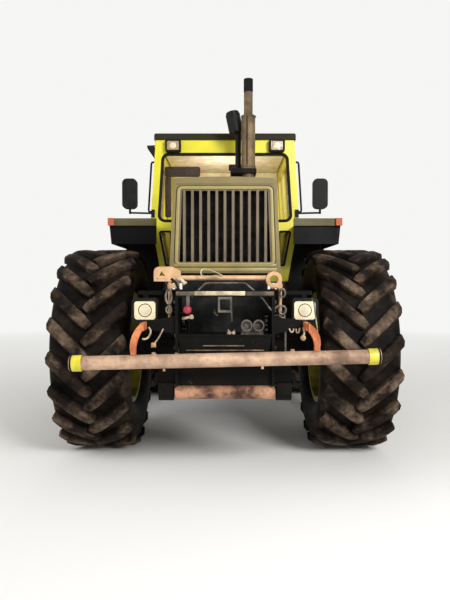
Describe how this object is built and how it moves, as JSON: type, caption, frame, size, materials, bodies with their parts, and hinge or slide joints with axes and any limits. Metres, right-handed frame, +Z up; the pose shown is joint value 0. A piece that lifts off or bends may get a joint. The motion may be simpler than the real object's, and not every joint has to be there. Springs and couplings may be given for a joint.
{
  "type": "four-wheel-drive system tractor",
  "caption": "Heavy farm tractor with four equal lugged wheels, long hood, mid-mounted cab, rear deck and front guard bar.",
  "frame": {"origin": "on the ground below the middle of the overall box", "axes": "+X to the tractor's own left, +Y rearwards, +Z up"},
  "size_m": [2.864, 5.2998, 3.55],
  "materials": {
    "lime_paint": "gloss",
    "olive_paint": "satin",
    "black_paint": "satin",
    "frame_grey": "matte",
    "cast_grey": "rough",
    "worn_tan": "weathered",
    "rusty_orange": "weathered",
    "tyre_rubber": "matte",
    "rim_paint": "satin",
    "glass_tint": "clear",
    "lens": "clear",
    "black_plastic": "matte",
    "seat_fabric": "woven",
    "exhaust_steel": "heat tinted",
    "steel": "worn"
  },
  "bodies": {
    "chassis": {"frame_rails": "frame_grey", "engine_and_drive": "cast_grey", "front_axle": "frame_grey", "rear_axle": "frame_grey", "rear_cowl": "olive_paint", "exhaust_stack": "exhaust_steel", "air_intake": "black_plastic", "cab_shell": "lime_paint", "cab_roof": "olive_paint", "cab_glass": "glass_tint", "driver_seat": "seat_fabric", "steering_console": "black_plastic", "front_fenders": "black_paint", "rear_fenders": "black_paint", "rear_deck": "frame_grey", "side_tanks": "black_paint", "front_carrier": "frame_grey", "guard_bar": "worn_tan", "tusk_arms": "rusty_orange", "front_roller": "rusty_orange", "lift_crossbar": "worn_tan", "tow_fittings": "steel", "lamp_housings": "black_plastic", "lamp_lenses": "lens", "mirrors": "black_plastic", "rear_hitch": "cast_grey"},
    "hood": {"hood_shell": "olive_paint", "grille": "olive_paint"},
    "door_left": {"door_left": "lime_paint", "door_glass_left": "glass_tint"},
    "door_right": {"door_right": "lime_paint", "door_glass_right": "glass_tint"},
    "knuckle_left": {"knuckle_left": "cast_grey"},
    "knuckle_right": {"knuckle_right": "cast_grey"},
    "tie_rod": {"tie_rod": "steel"},
    "wheel_front_left": {"tyre_front_left": "tyre_rubber", "rim_front_left": "rim_paint"},
    "wheel_front_right": {"tyre_front_right": "tyre_rubber", "rim_front_right": "rim_paint"},
    "wheel_rear_left": {"tyre_rear_left": "tyre_rubber", "rim_rear_left": "rim_paint"},
    "wheel_rear_right": {"tyre_rear_right": "tyre_rubber", "rim_rear_right": "rim_paint"},
    "lower_links": {"lower_links": "frame_grey"},
    "lift_arms": {"lift_arms": "frame_grey"},
    "lift_rods": {"lift_rods": "steel"}
  },
  "joints": [
    {"name": "hood_open", "type": "hinge", "parent": "chassis", "child": "hood", "pos_m": [0, -1.05, 2.33], "axis": [-1, 0, 0], "range_deg": [0, 50]},
    {"name": "door_left_open", "type": "hinge", "parent": "chassis", "child": "door_left", "pos_m": [0.812, -0.15, 2.2], "axis": [0, 0, -1], "range_deg": [0, 65]},
    {"name": "door_right_open", "type": "hinge", "parent": "chassis", "child": "door_right", "pos_m": [-0.812, -0.15, 2.2], "axis": [0, 0, 1], "range_deg": [0, 65]},
    {"name": "steer_left", "type": "hinge", "parent": "chassis", "child": "knuckle_left", "pos_m": [0.8, -1.25, 0.90373], "axis": [0, 0, 1], "range_deg": [-25, 25]},
    {"name": "steer_right", "type": "hinge", "parent": "chassis", "child": "knuckle_right", "pos_m": [-0.8, -1.25, 0.90373], "axis": [0, 0, 1], "range_deg": [-25, 25]},
    {"name": "tie_rod_swing", "type": "hinge", "parent": "knuckle_left", "child": "tie_rod", "pos_m": [0.8, -0.99, 0.73], "axis": [0, 0, 1], "range_deg": [-25, 25]},
    {"name": "roll_front_left", "type": "hinge", "parent": "knuckle_left", "child": "wheel_front_left", "pos_m": [1.1, -1.25, 0.90373], "axis": [1, 0, 0], "continuous": true},
    {"name": "roll_front_right", "type": "hinge", "parent": "knuckle_right", "child": "wheel_front_right", "pos_m": [-1.1, -1.25, 0.90373], "axis": [1, 0, 0], "continuous": true},
    {"name": "roll_rear_left", "type": "hinge", "parent": "chassis", "child": "wheel_rear_left", "pos_m": [1.1, 1.38, 0.90373], "axis": [1, 0, 0], "continuous": true},
    {"name": "roll_rear_right", "type": "hinge", "parent": "chassis", "child": "wheel_rear_right", "pos_m": [-1.1, 1.38, 0.90373], "axis": [1, 0, 0], "continuous": true},
    {"name": "links_lift", "type": "hinge", "parent": "chassis", "child": "lower_links", "pos_m": [0, 1.63, 0.62], "axis": [1, 0, 0], "range_deg": [-12, 30]},
    {"name": "arms_lift", "type": "hinge", "parent": "chassis", "child": "lift_arms", "pos_m": [0, 1.78, 1.19], "axis": [1, 0, 0], "range_deg": [-17, 42]},
    {"name": "rods_swing", "type": "hinge", "parent": "lift_arms", "child": "lift_rods", "pos_m": [0, 2.16, 1.19], "axis": [1, 0, 0], "range_deg": [-41, 17]}
  ],
  "couplings": [
    {"joint": "steer_right", "follows": "steer_left", "ratio": 1},
    {"joint": "tie_rod_swing", "follows": "steer_left", "ratio": -1},
    {"joint": "arms_lift", "follows": "links_lift", "ratio": 1.39},
    {"joint": "rods_swing", "follows": "links_lift", "ratio": -1.33}
  ]
}
